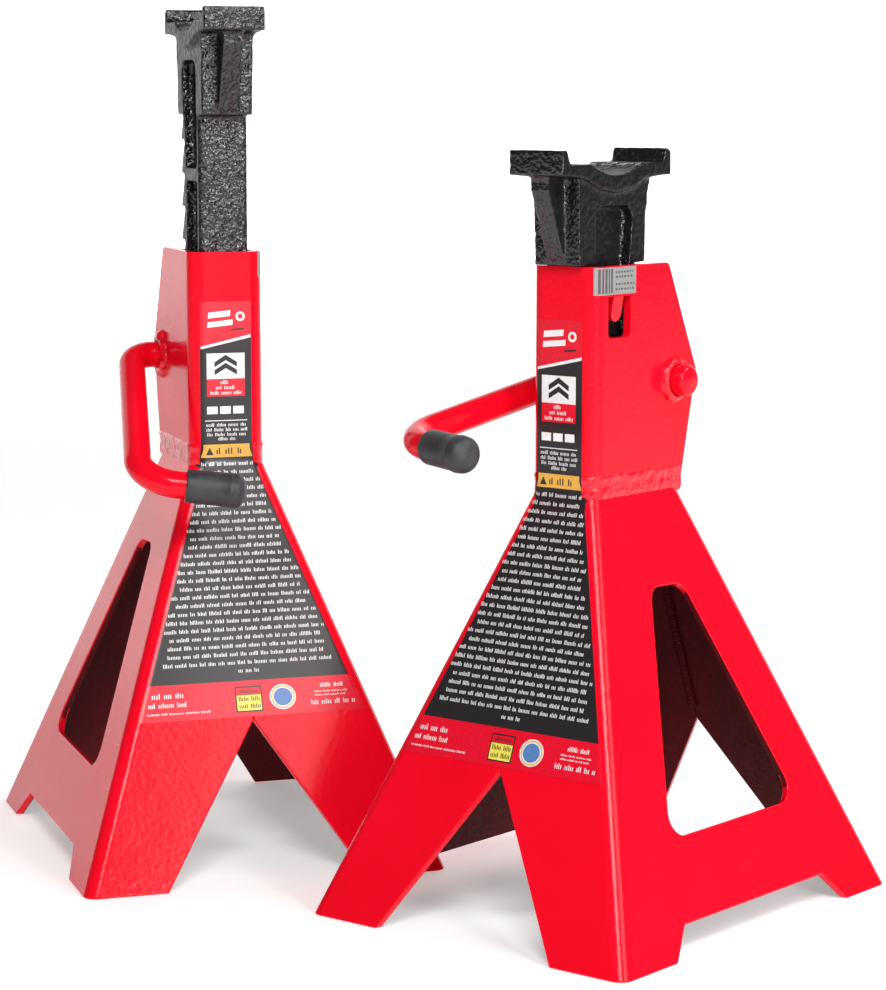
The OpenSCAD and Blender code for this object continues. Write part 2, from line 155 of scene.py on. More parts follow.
def red_enamel():
    """Glossy red enamel on pressed steel: orange peel, faint mottling, and hairline scuffs where it rubs."""
    mat, tree, skin, place = shader("red_enamel", IOR=1.25, Coat_Weight=0.06, Coat_Roughness=0.05)
    broad = noise_node(tree, place, 14.0, 2.0)
    fresh = ramp(tree, broad, (0.3, (0.79, 0.002, 0.014)), (0.7, (0.87, 0.003, 0.019)))
    scuffs = noise_node(tree, stretched(tree, place, (60, 60, 900)), 1.0, 4.0, 0.6)
    worn = ramp(tree, scuffs, (0.66, grey(0.0)), (0.76, grey(1.0)))
    colour = blend(tree, worn, fresh, (0.72, 0.003, 0.018))
    fine = noise_node(tree, place, 900.0, 2.0)
    rough = blend(tree, worn, ramp(tree, fine, (0.3, grey(0.15)), (0.75, grey(0.22))), grey(0.38))
    peel = noise_node(tree, place, 420.0, 2.0, 0.45)
    wave = noise_node(tree, place, 55.0, 1.0, 0.4)
    bump = bump_node(tree, total(tree, peel.outputs["Fac"], wave.outputs["Fac"]), 0.26, 0.0004)
    join(tree, skin, colour, rough, bump, coated=True)
    return mat


def red_inside_painted_shade():
    """Painted shade for the faces that point inward: a dark red, uneven in patches, standing in for the shade
    inside the stand.
    """
    mat, tree, skin, place = shader("red_inside_painted_shade", Roughness=0.55, Specular_IOR_Level=0.15)
    patch = noise_node(tree, place, 22.0, 4.0, 0.6)
    colour = ramp(tree, patch, (0.3, (0.055, 0.001, 0.003)), (0.7, (0.12, 0.001, 0.004)))
    fine = noise_node(tree, place, 500.0, 3.0)
    rough = ramp(tree, fine, (0.3, grey(0.45)), (0.7, grey(0.7)))
    join(tree, skin, colour, rough, bump_node(tree, fine.outputs["Fac"], 0.35, 0.0004))
    return mat


def weld_enamel():
    """The same enamel over a rough bead, with painted shade: the colour is darker red where the bead's bumps
    are low, in its hollows.
    """
    mat, tree, skin, place = shader("painted_weld", Coat_Weight=0.4, Coat_Roughness=0.05,
                                    Specular_IOR_Level=0.22)
    lump = noise_node(tree, place, 300.0, 3.0, 0.6, 0.6)
    # painted shade: darker red where the lumps are low
    colour = ramp(tree, lump, (0.35, (0.62, 0.002, 0.012)), (0.65, (0.88, 0.004, 0.024)))
    rough = ramp(tree, lump, (0.3, grey(0.3)), (0.6, grey(0.14)))
    join(tree, skin, colour, rough, bump_node(tree, lump.outputs["Fac"], 1.0, 0.0006), coated=True)
    return mat


def black_casting(name, scale, depth, gloss):
    """Black paint over a sand casting; scale and depth say how coarse its skin is, gloss how shiny."""
    mat, tree, skin, place = shader(name, Coat_Weight=0.9 * gloss, Coat_Roughness=0.03,
                                    Specular_IOR_Level=0.12 + 0.2 * gloss)
    grain = noise_node(tree, place, scale, 3.0, 0.5, 0.4)
    pits = node(tree, "TexVoronoi", {"Vector": place, "Scale": scale * 1.2}, feature="SMOOTH_F1")
    colour = ramp(tree, grain, (0.35, (0.004, 0.004, 0.005)), (0.7, (0.012, 0.011, 0.012)))
    rough = ramp(tree, grain, (0.35, grey(0.5 - 0.34 * gloss)), (0.65, grey(0.36 - 0.28 * gloss)))
    bump = bump_node(tree, total(tree, grain.outputs["Fac"], pits.outputs["Distance"]), 1.0, depth)
    join(tree, skin, colour, rough, bump, coated=True)
    return mat


def grip_rubber():
    """Dull black rubber with a faint mottle."""
    mat, tree, skin, place = shader("grip_rubber", Roughness=0.5, Specular_IOR_Level=0.45)
    mottle = noise_node(tree, place, 160.0, 3.0)
    colour = ramp(tree, mottle, (0.35, (0.022, 0.023, 0.026)), (0.7, (0.040, 0.041, 0.046)))
    rough = ramp(tree, mottle, (0.3, grey(0.42)), (0.7, grey(0.58)))
    fine = noise_node(tree, place, 1500.0, 2.0)
    join(tree, skin, colour, rough, bump_node(tree, fine.outputs["Fac"], 0.25, 0.0002))
    return mat


def pawl_steel():
    """Bare steel with fine lines and brown stains."""
    mat, tree, skin, place = shader("pawl_steel", Metallic=1.0, Roughness=0.45)
    lines = noise_node(tree, stretched(tree, place, (40, 500, 500)), 3.0, 4.0)
    stain = noise_node(tree, place, 90.0, 3.0)
    colour = ramp(tree, stain, (0.35, (0.10, 0.085, 0.075)), (0.65, (0.26, 0.25, 0.25)))
    rough = ramp(tree, lines, (0.3, grey(0.36)), (0.7, grey(0.55)))
    join(tree, skin, colour, rough, bump_node(tree, lines.outputs["Fac"], 0.3, 0.0002))
    return mat


def print_film(name, rgb, rough=0.32):
    """Printed label film in one ink, with a slight mottle and the sheet's waviness under it."""
    mat, tree, skin, place = shader(name, Roughness=rough, Coat_Weight=0.15, Coat_Roughness=0.15,
                                    Specular_IOR_Level=0.35)
    ink = noise_node(tree, place, 700.0, 2.0)
    faded = tuple(c * 0.88 for c in rgb)
    wave = noise_node(tree, place, 60.0, 1.0, 0.4)
    join(tree, skin, ramp(tree, ink, (0.3, faded), (0.7, rgb)),
         bump=bump_node(tree, wave.outputs["Fac"], 0.15, 0.0004))
    return mat


MAT = {
    "red_enamel": red_enamel(),
    # the inside's dark red is painted shade
    "red_inside_painted_shade": red_inside_painted_shade(),
    "painted_weld": weld_enamel(),
    "black_casting": black_casting("black_casting", 520.0, 0.0005, 0.8),
    "black_casting_side": black_casting("black_casting_side", 380.0, 0.0003, 0.1),
    "grip_rubber": grip_rubber(),
    "pawl_steel": pawl_steel(),
    "label_black": print_film("label_black", (0.020, 0.017, 0.019)),
    "label_red": print_film("label_red", (0.78, 0.004, 0.024)),
    "label_white": print_film("label_white", (0.86, 0.85, 0.84)),
    "label_amber": print_film("label_amber", (0.80, 0.42, 0.06)),
    "label_yellow": print_film("label_yellow", (0.85, 0.72, 0.10)),
    "label_blue": print_film("label_blue", (0.10, 0.22, 0.50)),
    "sticker_foil": print_film("sticker_foil", (0.27, 0.27, 0.27), 0.3),
    "sticker_dark": print_film("sticker_dark", (0.10, 0.08, 0.08), 0.35),
}


# ---------------------------------------------------------------- mesh helpers

def new_piece(name, mesh, side, body, materials, replaces, smooth):
    """Links a mesh drawn in stand axes, in metres, and tells the frame what it is; smooth is the angle of
    a sharp edge in degrees, or None."""
    o = bpy.data.objects.new(f"{side}_{name}", mesh)
    bpy.context.scene.collection.objects.link(o)
    o.matrix_world = stand_matrix(side)
    for m in materials:
        mesh.materials.append(MAT[m])
    mesh.polygons.foreach_set("use_smooth", [True] * len(mesh.polygons))
    if smooth:
        mesh.set_sharp_from_angle(angle=math.radians(smooth))
    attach(o, f"{side}_{body}")
    if replaces:
        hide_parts(*[f"{side}_{r}" for r in replaces])
    return o


def cad_mesh(side, node_name):
    """A copy of a CAD node's mesh in stand axes, with flat faces merged again."""
    me = NODES[f"{side}_{node_name}"].data.copy()
    me.materials.clear()
    me.transform(stand_matrix(side).inverted())
    bm = bmesh.new()
    bm.from_mesh(me)
    bmesh.ops.remove_doubles(bm, verts=bm.verts, dist=1e-6)
    bmesh.ops.dissolve_limit(bm, angle_limit=math.radians(0.6), verts=bm.verts, edges=bm.edges)
    bm.to_mesh(me)
    bm.free()
    for a in list(me.attributes):
        if a.name in ("custom_normal", "sharp_edge"):
            me.attributes.remove(a)
    return me


def apply_modifiers(o):
    deps = bpy.context.evaluated_depsgraph_get()
    me = bpy.data.meshes.new_from_object(o.evaluated_get(deps))
    old = o.data
    o.modifiers.clear()
    o.data = me
    bpy.data.meshes.remove(old)


def rounded_cad(side, node_name, body, material, width):
    """A CAD shape with its sheared edges rounded, as a paint film leaves them."""
    o = new_piece(node_name + "_sheet", cad_mesh(side, node_name), side, body, [material],
                  [node_name], None)
    rounding = o.modifiers.new("bevel", "BEVEL")
    rounding.width = width * MM
    rounding.segments = 2
    rounding.limit_method = "ANGLE"
    rounding.angle_limit = math.radians(30)
    rounding.use_clamp_overlap = True
    rounding.harden_normals = False
    shading = o.modifiers.new("normals", "WEIGHTED_NORMAL")
    shading.keep_sharp = False
    apply_modifiers(o)
    return o


def shade_inner_faces(o):
    """Gives the faces that look toward the stand's middle the dark red that is painted shade for the inside.
    """
    me = o.data
    me.materials.clear()
    me.materials.append(MAT["red_enamel"])
    me.materials.append(MAT["red_inside_painted_shade"])
    facing_in, facing_up, edge_area = -0.35, 0.3, 2e-6
    for face in me.polygons:
        n, c = face.normal, face.center
        outward = Vector((c.x, c.y, 0)).normalized()
        inward = n.x * outward.x + n.y * outward.y < facing_in and n.z < facing_up
        face.material_index = 1 if inward and face.area > edge_area else 0


def skin_rings(bm, rings):
    """Faces between neighbouring closed rings; a ring of one point closes an end."""
    for r0, r1 in zip(rings, rings[1:]):
        sides = max(len(r0), len(r1))
        for k in range(sides):
            q = (k + 1) % sides
            if len(r0) == 1:
                bm.faces.new((r0[0], r1[q], r1[k]))
            elif len(r1) == 1:
                bm.faces.new((r0[k], r0[q], r1[0]))
            else:
                bm.faces.new((r0[k], r0[q], r1[q], r1[k]))


def to_mesh(bm, name):
    me = bpy.data.meshes.new(name)
    bm.to_mesh(me)
    bm.free()
    return me


def sweep(path, radius, sides, name):
    """A round rod along a list of points; radius is a function of the point's index."""
    bm = bmesh.new()
    rings = []
    up = Vector((0, 0, 1))
    for i, p in enumerate(path):
        a, b = path[max(i - 1, 0)], path[min(i + 1, len(path) - 1)]
        t = (b - a).normalized()
        u = up.cross(t).normalized()
        v = t.cross(u)
        r = radius(i)
        rings.append([bm.verts.new((p + r * (math.cos(q) * u + math.sin(q) * v)) * MM)
                      for q in circle(sides)])
    skin_rings(bm, rings)
    bm.faces.new(list(reversed(rings[0])))
    bm.faces.new(rings[-1])
    bmesh.ops.recalc_face_normals(bm, faces=bm.faces)
    return to_mesh(bm, name)


def lathe(profile, sides):
    """Turns (radius, height) pairs about +Z; millimetres in, metres out."""
    bm = bmesh.new()
    rings = []
    for r, z in profile:
        if r < 1e-6:
            rings.append([bm.verts.new((0, 0, z * MM))])
        else:
            rings.append([bm.verts.new((r * MM * math.cos(a), r * MM * math.sin(a), z * MM))
                          for a in circle(sides)])
    skin_rings(bm, rings)
    bmesh.ops.recalc_face_normals(bm, faces=bm.faces)
    return to_mesh(bm, "lathe")


# ---------------------------------------------------------------- handle

# The handle lies in its own flat plane: the shaft along x through the pivot, the arm, then the grip
SHAFT_RIGHT, SHAFT_LEFT, ARM_LEN, GRIP_RUN = 26.0, -33.4, 111, 50
ARM_BEND_R, GRIP_BEND_R = 11.8, 20
ARM_SPLAY, GRIP_TURN = math.radians(9.8), math.radians(14.5)
ARM = Vector((-math.sin(ARM_SPLAY), -math.cos(ARM_SPLAY), 0))
GRIP = Vector((math.cos(GRIP_TURN), -math.sin(GRIP_TURN), 0))
ARM_CORNER = Vector((SHAFT_LEFT, 0, 0))
GRIP_CORNER = ARM_CORNER + ARM_LEN * ARM
GRIP_TIP = GRIP_CORNER + GRIP_RUN * GRIP
CAP_LEN, CAP_R = 28.0, 7.8


def rounded_corner(corner, into, out, r, steps):
    """Points of a round bend between two straight directions."""
    turn = into.angle(out)
    trim = r * math.tan(turn / 2)
    start = corner - trim * into
    side = (out - into * out.dot(into)).normalized()
    return [start + r * math.sin(turn * i / steps) * into + r * (1 - math.cos(turn * i / steps)) * side
            for i in range(steps + 1)]


def handle_rod(side):
    """The bent rod, with a chamfer on the shaft's right end."""
    path = [Vector((x, 0, 0)) for x in (SHAFT_RIGHT, SHAFT_RIGHT - 0.8, SHAFT_RIGHT - 2, 10, 0)]
    path += rounded_corner(ARM_CORNER, Vector((-1, 0, 0)), ARM, ARM_BEND_R, 14)
    path += [ARM_CORNER + k * ARM for k in (25, 40, 55, 70, 80)]
    path += rounded_corner(GRIP_CORNER, ARM, GRIP, GRIP_BEND_R, 18)
    path += [GRIP_TIP - 20 * GRIP, GRIP_TIP - 5 * GRIP]
    chamfer = {0: 5.3, 1: 5.9}
    me = sweep(path, lambda i: chamfer.get(i, ROD_R), 40, "rod")
    me.transform(in_metres(handle_matrix(side)))
    new_piece("handle_bent_rod", me, side, "handle", ["red_enamel"], ["handle_rod"], 35)


def handle_cap(side):
    """The rubber cap: a lathe with an open rim, a slight taper, a low ridge and a domed end with a dimple."""
    r, ridge, dome_h = CAP_R, CAP_LEN - 7.4, 5.1
    rim = [(ROD_R + 0.02, 0.9), (ROD_R + 0.1, 0.25), (ROD_R + 0.5, 0.0), (r - 0.5, 0.0), (r - 0.12, 0.2),
           (r, 0.7)]
    body = [(r, 3), (r + 0.05, 8), (r + 0.1, 14), (r + 0.15, ridge - 1.0), (r + 0.45, ridge - 0.5),
            (r + 0.5, ridge), (r + 0.28, ridge + 0.5), (r + 0.3, ridge + 1.2)]
    dome = [((r + 0.3) * math.cos(a), CAP_LEN - dome_h + dome_h * math.sin(a))
            for a in (math.radians(d) for d in (0, 10, 20, 30, 40, 50, 60, 68, 76, 82))]
    dimple = [(0.9, CAP_LEN - 0.05), (0.55, CAP_LEN - 0.25), (0.25, CAP_LEN - 0.42), (0.0, CAP_LEN - 0.45)]
    me = lathe(rim + body + dome + dimple, 48)
    open_end = Matrix.Translation(GRIP_TIP - CAP_LEN * GRIP)
    along_grip = GRIP.to_track_quat("Z", "Y").to_matrix().to_4x4()
    me.transform(in_metres(handle_matrix(side) @ open_end @ along_grip))
    new_piece("handle_rubber_cap", me, side, "handle", ["grip_rubber"], ["handle_grip"], 50)


def collar(side):
    """The ring on the shaft's right end, drawn as a stub with a domed end."""
    outer, end = 7.0, 27.0
    profile = [(6.4, 21.0), (6.95, 21.2), (outer, 25.4), (6.7, 26.1), (6.0, 26.8), (5.4, end), (0.0, end)]
    stub = lathe(profile, 48)
    along_shaft = Vector((1, 0, 0)).to_track_quat("Z", "Y").to_matrix().to_4x4()
    stub.transform(Matrix.Translation(PIVOT * MM) @ along_shaft)
    new_piece("collar_stub", stub, side, "handle", ["red_enamel"], ["shaft_collar"], 50)


# ---------------------------------------------------------------- ratchet bar

def casting(side):
    """The CAD casting, remeshed so that its edges round off and its skin is uneven."""
    shrink, front_skin, other_skin, swell = 0.35, 0.38, 0.10, 0.12
    o = new_piece("cast_bar", cad_mesh(side, "ratchet_bar"), side, "bar",
                  ["black_casting"], ["ratchet_bar"], None)
    remesh = o.modifiers.new("remesh", "REMESH")
    remesh.mode = "VOXEL"
    remesh.voxel_size = 0.8 * MM
    soften = o.modifiers.new("smooth", "SMOOTH")
    soften.factor = 0.5
    soften.iterations = 3
    apply_modifiers(o)
    me = o.data
    normals = [v.normal.copy() for v in me.vertices]
    for v, n in zip(me.vertices, normals):
        p = v.co / MM
        coarse = front_skin if n.y < -0.6 else other_skin
        v.co += n * ((noise.noise(p * 0.40) * coarse + noise.noise(p * 0.13) * swell - shrink) * MM)
    me.materials.clear()
    for m in ("black_casting", "black_casting_side"):
        me.materials.append(MAT[m])
    for face in me.polygons:
        face.material_index = 0 if face.normal.y < -0.45 else 1
    me.polygons.foreach_set("use_smooth", [True] * len(me.polygons))


# ---------------------------------------------------------------- labels

INKS = ["label_black", "label_red", "label_white", "label_amber", "label_yellow", "label_blue"]

# Heights of the front label's fields. Below FLARE_TOP it widens with the base, from LABEL_HALF on each side
# of the tower to FLARE_HALF at its lower edge.
LABEL_TOP, HEAD_LOW, FLARE_TOP, BLACK_LOW, LABEL_LOW = 266.5, 243.0, 196.0, 90.5, 74.5
LABEL_HALF, FLARE_HALF = 12.5, 55.4


def label_depth(z, off):
    """Where the label's face is: in front of the tower, then down the sloping base, with a soft bend."""
    soft = 0.35
    below = (BASE_H - z) * (BASE_FRONT - TOWER_FRONT) / BASE_H
    run = soft * math.log1p(math.exp(below / soft)) if below < 20 * soft else below
    return -TOWER_FRONT - run - off


def layer_off(layer):
    """How far a printed layer is in front of the sheet; each layer is a little in front of the last."""
    return 0.08 + 0.05 * layer


class Decal:
    """Flat printed areas on the front, given as [across, height] in millimetres, in layers.

    Shapes and rows of ticks are placed from shift, and areas from the tower's middle.
    """

    def __init__(self, name, inks, seed):
        self.name, self.inks, self.bm = name, inks, bmesh.new()
        self.shift, self.rng = 0.0, random.Random(seed)

    def area(self, ink, z_low, z_high, left, right, layer, step=3.0):
        """A patch between two heights; left and right are functions of the height."""
        n = max(1, math.ceil((z_high - z_low) / step))
        rows = []
        for i in range(n + 1):
            z = z_low + (z_high - z_low) * i / n
            y = label_depth(z, layer_off(layer))
            rows.append([self.bm.verts.new(Vector((x(z), y, z)) * MM) for x in (left, right)])
        for r0, r1 in zip(rows, rows[1:]):
            face = self.bm.faces.new((r0[0], r0[1], r1[1], r1[0]))
            face.material_index = self.inks.index(ink)

    def shape(self, ink, points, layer=2):
        """A small flat polygon."""
        off = layer_off(layer)
        corners = [Vector((self.shift + x, label_depth(z, off), z)) * MM for x, z in points]
        face = self.bm.faces.new([self.bm.verts.new(corner) for corner in corners])
        face.material_index = self.inks.index(ink)

    def box(self, ink, x0, z0, x1, z1, layer=2):
        self.shape(ink, [(x0, z0), (x1, z0), (x1, z1), (x0, z1)], layer)

    def words(self, ink, z, height, left, right, short, long, layer=2):
        """A row of plain upright ticks in groups, in place of a line of print."""
        stroke = max(0.34, 0.21 * height)
        x = left
        while x < right - short * 0.6:
            stop = min(x + self.rng.uniform(short, long), right)
            while x < stop:
                tall = height * self.rng.choice((0.72, 0.72, 1.0))
                self.box(ink, x, z, x + stroke, z + tall, layer)
                x += stroke * self.rng.uniform(1.8, 2.3)
            x += 0.6 * height

    def wrapped(self):
        """The mesh, cut into strips at the folds and laid round the bends of the tower and the base."""
        strips, strip_w, reach = 7, 0.8, 6.8
        lean = (BASE_W - TOWER_W) / 2 / BASE_H
        flat = TOWER_W / 2 - BEND_R
        cuts = []
        for k in range(strips):
            for s in (1, -1):
                x = s * (flat + strip_w * k)
                cuts.append(((x, 0, 0), (s, 0, 0)))
                cuts.append(((x, 0, BASE_H), (s, 0, lean)))
        for place, normal in cuts:
            parts = list(self.bm.verts) + list(self.bm.edges) + list(self.bm.faces)
            bmesh.ops.bisect_plane(self.bm, geom=parts, dist=1e-7, plane_co=Vector(place) * MM,
                                   plane_no=normal)
        for v in self.bm.verts:
            past = abs(v.co.x) / MM - flat - lean * max(0.0, BASE_H - v.co.z / MM)
            if past > 0:
                v.co.y += (BEND_R - math.sqrt(BEND_R ** 2 - min(past, reach) ** 2)) * MM
        return to_mesh(self.bm, self.name)


def disc(cx, cz, rx, rz, n=28):
    return [(cx + rx * math.cos(a), cz + rz * math.sin(a)) for a in circle(n)]


def label_edge(shift, sign):
    """The label's left (-1) or right (+1) edge, as a function of height."""
    def across(z):
        if z >= FLARE_TOP:
            return shift + sign * LABEL_HALF
        t = (FLARE_TOP - z) / (FLARE_TOP - LABEL_LOW)
        return shift * (1 - t) + sign * (LABEL_HALF + (FLARE_HALF - LABEL_HALF) * t)
    return across


def label_head(d):
    """The head's rule, which rises to the right, and its sign: two plain bars and a ring."""
    left, right, rule_low, rule_rise = -LABEL_HALF, LABEL_HALF, 244.6, 5.2
    rule_end = rule_low + rule_rise
    d.shape("label_black", [(left, HEAD_LOW), (right, HEAD_LOW), (right, rule_end - 0.2),
                            (left, rule_low - 0.4)], 1)
    d.shape("label_white", [(left + 0.4, rule_low - 0.5), (right - 0.3, rule_end - 0.5),
                            (right - 0.3, rule_end + 0.9), (left + 0.4, rule_low + 0.7)])
    d.shape("label_white", [(-8.6, 258.6), (2.2, 259.6), (2.4, 262.4), (-8.3, 261.4)])
    d.shape("label_white", [(-9.0, 254.2), (3.4, 255.4), (3.6, 258.0), (-8.7, 256.8)])
    d.shape("label_white", disc(7.2, 259.4, 2.3, 2.3, 18))
    d.shape("label_red", disc(7.2, 259.4, 1.2, 1.2, 18), 3)
    d.shape("label_black", [(2.6, 252.6), (9.2, 253.2), (9.2, 254.0), (2.6, 253.4)])


def label_box(d):
    """A white box with two plain chevrons, and a red band with ticks under it."""
    left, right, band_low, box_low, box_top = -9.4, 9.2, 221.4, 229.8, 242.0
    middle, arm, rise, stroke = -0.1, 5.5, 3.2, 2.4
    d.box("label_white", left, box_low, right, box_top)
    for z in (231.6, 235.4):
        d.shape("label_black", [(middle - arm, z), (middle, z + rise), (middle + arm, z),
                                (middle + arm, z + stroke), (middle, z + rise + 2.6),
                                (middle - arm, z + stroke)], 3)
    d.box("label_red", left, band_low, right, box_low)
    for z, half in ((227.3, 2.8), (224.8, 5.0), (222.3, 7.6)):
        d.words("label_white", z, 1.7, -half, half, 2.6, 5.0, 3)


def label_bars(d):
    """Three plain bars, a thin rule and four rows of ticks."""
    for x in (-9.4, -3.0, 3.4):
        d.box("label_white", x, 213.0, x + 5.2, 216.6)
    d.box("label_white", -10.4, 209.6, 10.2, 210.0)
    for z, half in ((207.0, 9.8), (204.7, 9.8), (202.4, 9.4), (200.3, 4.0)):
        d.words("label_white", z, 1.6, -half, half, 2.2, 5.0)


def label_band(d, left, right):
    """The amber band, with a plain triangle and ticks."""
    margin = 1.2
    d.area("label_amber", 192.2, 198.4, lambda z: left(z) + margin, lambda z: right(z) - margin, 1, 1.2)
    d.shape("label_black", [(-10.2, 193.4), (-6.4, 193.4), (-8.3, 197.0)], 3)
    d.words("label_black", 193.7, 3.0, -5.0, 10.2, 2.2, 3.4, 3)


def label_rows(d, left, right):
    """Rows of ticks down the black field, the last one short."""
    rows, top, bottom, margin, last_half = 26, 188.2, 94.2, 2.2, 5.0
    for i in range(rows):
        z = top - i * (top - bottom) / (rows - 1)
        middle = (left(z) + right(z)) / 2
        room = (right(z) - left(z)) / 2 - margin
        half = room * d.rng.uniform(0.86, 1.0) if i < rows - 1 else last_half
        d.words("label_white", z, 1.8, middle - half, middle + half, 1.6, 6.4)


def label_foot(d):
    """On the red band at the foot: ticks at both ends, a plain yellow panel, and a plain disc."""
    for z, x0, x1, height in ((84.6, -47.5, -31, 2.4), (80.6, -49.5, -28, 2.2), (77.4, -50.5, -20, 0.9)):
        d.words("label_white", z, height, x0, x1, 3.0, 7.0, 3)
    for z, x0, x1, height in ((85.6, 34, 46.5, 1.9), (83.4, 31, 47, 0.8), (81.8, 31, 47.5, 0.8),
                              (78.0, 29, 50.5, 2.2)):
        d.words("label_white", z, height, x0, x1, 2.4, 5.4, 3)
    d.box("label_black", -7.6, 76.6, 5.4, 88.0)
    d.box("label_red", -7.0, 84.4, 4.8, 87.4, 3)
    d.box("label_yellow", -7.0, 77.2, 4.8, 84.1, 3)
    d.words("label_black", 85.0, 1.6, -5.4, 3.2, 8.0, 9.0, 4)
    for z in (81.4, 78.2):
        d.words("label_black", z, 2.0, -6.0, 3.8, 3.6, 5.0, 4)
    for layer, (ink, size) in enumerate((("white", 6.4), ("amber", 5.8), ("white", 5.1), ("blue", 4.5))):
        d.shape("label_" + ink, disc(15.4, 82.4, size, size * 0.88), 2 + layer)


def front_label(side):
    """The printed label on the tower's front and the base: colour fields with plain marks on them."""
    shift = STANDS[side]["label_shift"]
    left, right = label_edge(shift, -1), label_edge(shift, 1)
    d = Decal("front_decal", INKS, 7)
    d.area("label_red", HEAD_LOW, LABEL_TOP, left, right, 0)
    d.area("label_black", LABEL_LOW, HEAD_LOW + 0.2, left, right, 0)
    d.shift = shift
    label_head(d)
    label_box(d)
    label_bars(d)
    label_band(d, left, right)
    d.shift = 0.0
    label_rows(d, left, right)
    d.area("label_red", LABEL_LOW, BLACK_LOW, left, right, 1)
    d.shift = 0.35 * shift
    label_foot(d)
    new_piece(d.name, d.wrapped(), side, "stand", INKS, ["front_label"], None)


def side_sticker(side):
    """Foil sticker that wraps from the tower's bend onto its right side, with plain stripes and ticks."""
    inks = ["sticker_foil", "sticker_dark"]
    bm = bmesh.new()
    r, half, front = BEND_R, TOWER_W / 2, TOWER_FRONT
    rng = random.Random(3)
    ticks_rear, gap = 0.6, 0.8

    def point(y, z, off):
        reach = y + front - r
        if reach >= 0:
            return Vector((half + off, y, z))
        a = reach / r
        return Vector((half - r + (r + off) * math.cos(a), -front + r + (r + off) * math.sin(a), z))

    def patch(y0, y1, z0, z1, ink, layer):
        n = max(1, math.ceil(y1 - y0)) if y0 < -front + r else 1
        off = 0.06 + 0.05 * layer
        cols = [[bm.verts.new(point(y0 + (y1 - y0) * i / n, z, off) * MM) for z in (z0, z1)]
                for i in range(n + 1)]
        for c0, c1 in zip(cols, cols[1:]):
            bm.faces.new((c0[0], c1[0], c1[1], c0[1])).material_index = inks.index(ink)

    patch(-27.0, 1.8, 277.7, 289.6, "sticker_foil", 0)
    for y, width in ((-25.0, 1.3), (-22.9, 1.0), (-21.0, 1.5), (-18.6, 0.9), (-16.8, 1.3)):
        patch(y, y + width, 278.4, 289.0, "sticker_dark", 1)
    for z in (287.0, 285.0, 281.8, 279.6):
        y = -13.4
        while y < ticks_rear - 1.0:
            width = min(rng.uniform(0.8, 1.8), ticks_rear - y)
            patch(y, y + width, z, z + 0.8, "sticker_dark", 1)
            y += width + gap
    new_piece("foil_sticker", to_mesh(bm, "sticker"), side, "stand", inks,
              ["side_sticker"], None)


# ---------------------------------------------------------------- weld beads

def bead(side, name, path, radius, body, replaced, seed, paint="painted_weld"):
    """A rippled weld bead laid along a path: close ridges across it, and a wandering width."""
    step, ripple = 0.45, 1.5
    rng = random.Random(seed)
    pts = []
    for a, b in zip(path, path[1:]):
        n = max(1, int((b - a).length / step))
        pts += [a + (b - a) * i / n for i in range(n)]
    pts.append(path[-1])
    phase = rng.uniform(0, 6)

    def width(i):
        ridge = 0.10 * math.sin(i * step / ripple * 2 * math.pi + phase)
        wander = 0.16 * noise.noise(Vector((i * 0.11, seed * 3.1, 0.5)))
        end = min(1.0, 0.45 + 0.25 * i, 0.45 + 0.25 * (len(pts) - 1 - i))
        return radius * (1 + ridge + wander) * end

    new_piece(name, sweep(pts, width, 14, name), side, body, [paint], replaced, 60)


def foot_line(start):
    """Points and outward directions round the tower's right bend and side at its foot, from start
    millimetres past the bend's beginning."""
    corner = Vector((TOWER_W / 2 - BEND_R, -TOWER_FRONT + BEND_R, 0))
    line = []
    if start < 0:
        line = [(Vector((corner.x + start * (1 - i / 4), -TOWER_FRONT, 0)), Vector((0, -1, 0)))
                for i in range(4)]
    first = math.acos(max(start, 0.0) / BEND_R)
    for i in range(13):
        a = -first * (1 - i / 12)
        out = Vector((math.cos(a), math.sin(a), 0))
        line.append((corner + BEND_R * out, out))
    steps, run = 60, TOWER_REAR + 0.5 - corner.y
    for i in range(1, steps + 1):
        line.append((Vector((TOWER_W / 2, corner.y + run * i / steps, 0)), Vector((1, 0, 0))))
    return line


def weld_band(side):
    """Ground-over weld around the tower's foot: a low lumpy band, left open behind the label."""
    proud, label_gap = 1.0, 0.4
    cross = [(-2.4, -0.35), (-1.2, 0.2), (0.6, 0.42), (2.4, 0.38), (4.4, 0.26), (6.2, 0.36), (7.8, 0.62),
             (8.8, 0.66), (9.6, 0.3), (10.0, -0.3)]
    bend_start = TOWER_W / 2 - BEND_R
    for flip, name in ((1, "foot_weld_right"), (-1, "foot_weld_left")):
        line = foot_line(LABEL_HALF + flip * STANDS[side]["label_shift"] + label_gap - bend_start)
        lengths = [0.0]
        for (p0, _), (p1, _) in zip(line, line[1:]):
            lengths.append(lengths[-1] + (p1 - p0).length)
        bm = bmesh.new()
        cols = []
        for (p, out), s in zip(line, lengths):
            col = []
            for k, (dz, height) in enumerate(cross):
                q = Vector((s * 0.30, dz * 0.33, flip * 4.7))
                lump = noise.noise(q) * 0.34 + noise.noise(q * 2.7) * 0.22
                wander = 0.55 * noise.noise(Vector((s * 0.12, k * 0.01, flip * 2.0 + 9)))
                v = p + out * min(height + (lump if 0 < k < len(cross) - 1 else 0), proud)
                z = BASE_H + dz + (wander if k > 5 else 0) * 0.8
                col.append(bm.verts.new(Vector((flip * v.x, v.y, z)) * MM))
            cols.append(col)
        for c0, c1 in zip(cols, cols[1:]):
            for k in range(len(cross) - 1):
                face = (c0[k], c1[k], c1[k + 1], c0[k + 1])
                bm.faces.new(face if flip > 0 else tuple(reversed(face)))
        o = new_piece(name, to_mesh(bm, name), side, "stand", ["painted_weld"],
                      ["tower_weld"], None)
        rounding = o.modifiers.new("sub", "SUBSURF")
        rounding.levels = rounding.render_levels = 1
        apply_modifiers(o)


